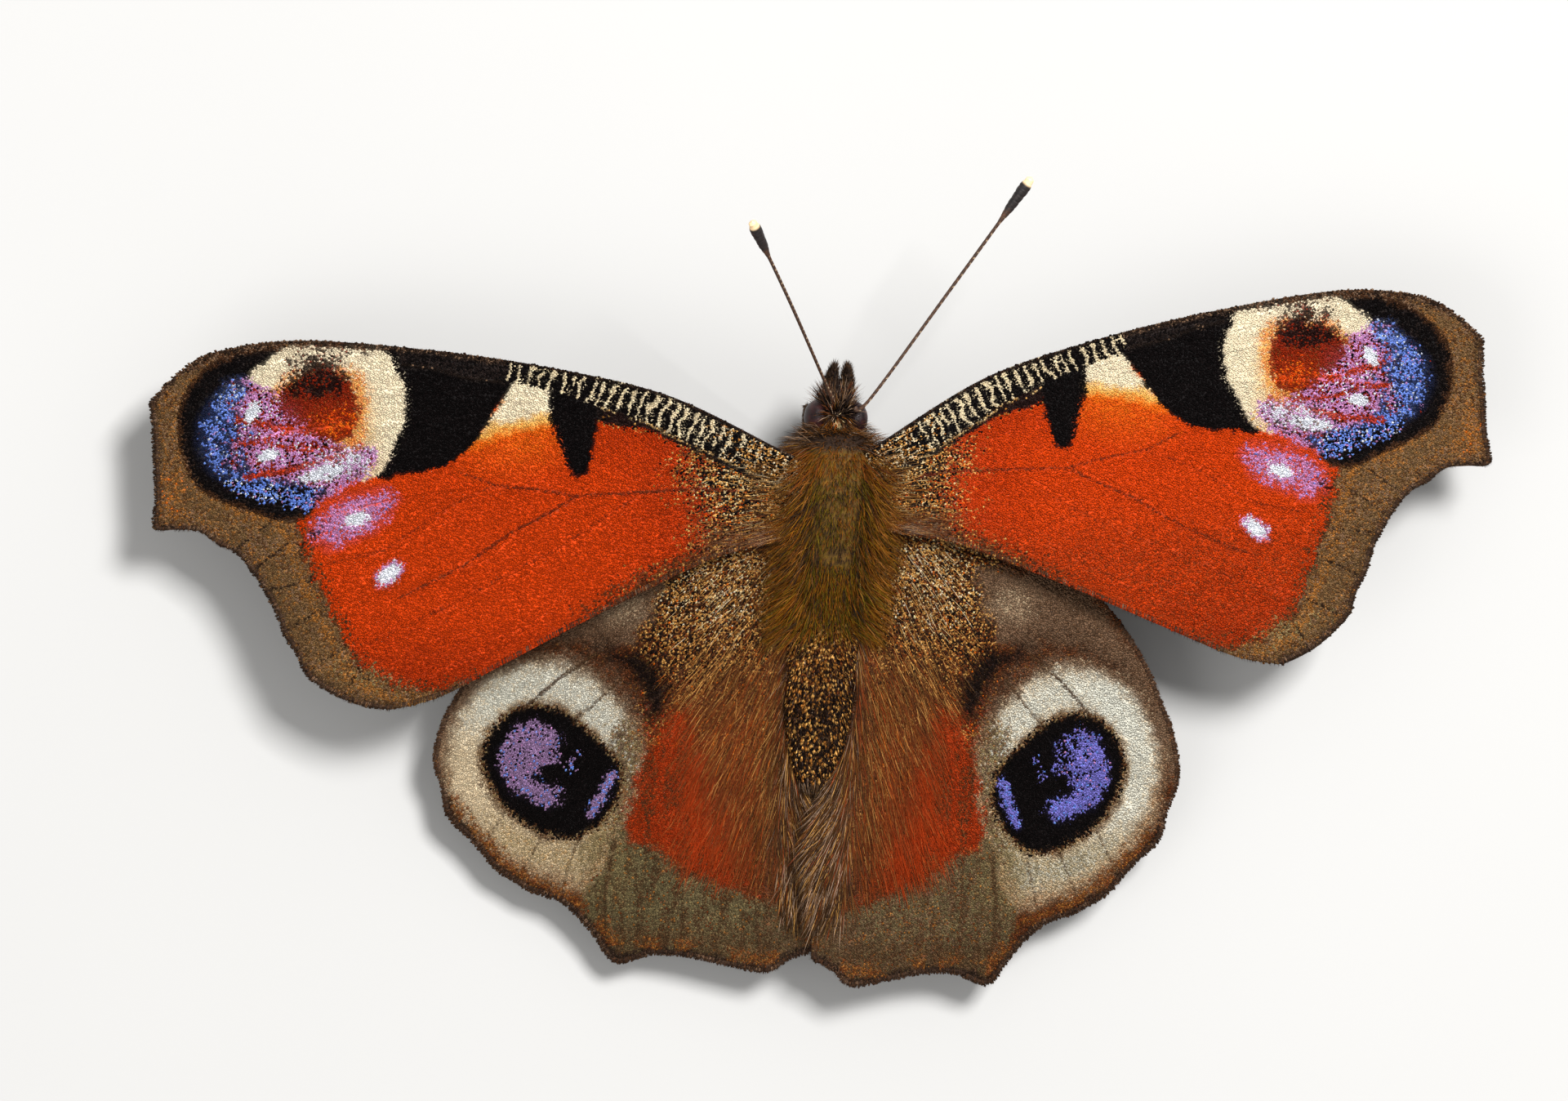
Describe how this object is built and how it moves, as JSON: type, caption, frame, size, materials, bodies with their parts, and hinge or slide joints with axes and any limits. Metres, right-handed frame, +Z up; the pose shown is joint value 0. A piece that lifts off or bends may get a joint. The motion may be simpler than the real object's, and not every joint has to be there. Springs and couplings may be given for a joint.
{
  "type": "peacock butterfly",
  "caption": "Peacock butterfly at rest with its wings spread flat, showing red forewings and blue-centred eyespots.",
  "frame": {"origin": "middle of the outline seen from above, on the floor", "axes": "+Z up, head towards -Y, the animal's left side towards +X"},
  "size_m": [0.0644, 0.0386, 0.017],
  "materials": {
    "forewing_scales": "matt overlapping scales, brick red with black, cream and lilac-blue markings",
    "hindwing_scales": "matt overlapping scales, brown with a red field, a grey-green border and a blue-centred eyespot",
    "body_hair": "dense soft hair, olive brown to orange brown",
    "abdomen_scales": "dark scales with golden flecks",
    "eye": "dark brown-red, softly glossy, with short fine hairs",
    "antenna_horn": "dark brown horn with a paler tip",
    "dark_scales": "dark brown scales with fine hairs"
  },
  "bodies": {
    "root": {"abdomen": "abdomen_scales", "antenna_club_left": "antenna_horn", "antenna_club_right": "antenna_horn", "antenna_shaft_left": "antenna_horn", "antenna_shaft_right": "antenna_horn", "coxa_hind_left": "dark_scales", "coxa_hind_right": "dark_scales", "coxa_middle_left": "dark_scales", "coxa_middle_right": "dark_scales", "eye_left": "eye", "eye_right": "eye", "femur_fore_left": "dark_scales", "femur_fore_right": "dark_scales", "femur_hind_left": "dark_scales", "femur_hind_right": "dark_scales", "femur_middle_left": "dark_scales", "femur_middle_right": "dark_scales", "forewing_left": "forewing_scales", "forewing_right": "forewing_scales", "head": "body_hair", "hindwing_left": "hindwing_scales", "hindwing_right": "hindwing_scales", "mesothorax": "body_hair", "metathorax": "body_hair", "palp_left": "dark_scales", "palp_right": "dark_scales", "proboscis": "antenna_horn", "prothorax": "body_hair", "tarsus_hind_left": "dark_scales", "tarsus_hind_right": "dark_scales", "tarsus_middle_left": "dark_scales", "tarsus_middle_right": "dark_scales", "tibia_fore_left": "dark_scales", "tibia_fore_right": "dark_scales", "tibia_hind_left": "dark_scales", "tibia_hind_right": "dark_scales", "tibia_middle_left": "dark_scales", "tibia_middle_right": "dark_scales"}
  },
  "joints": []
}
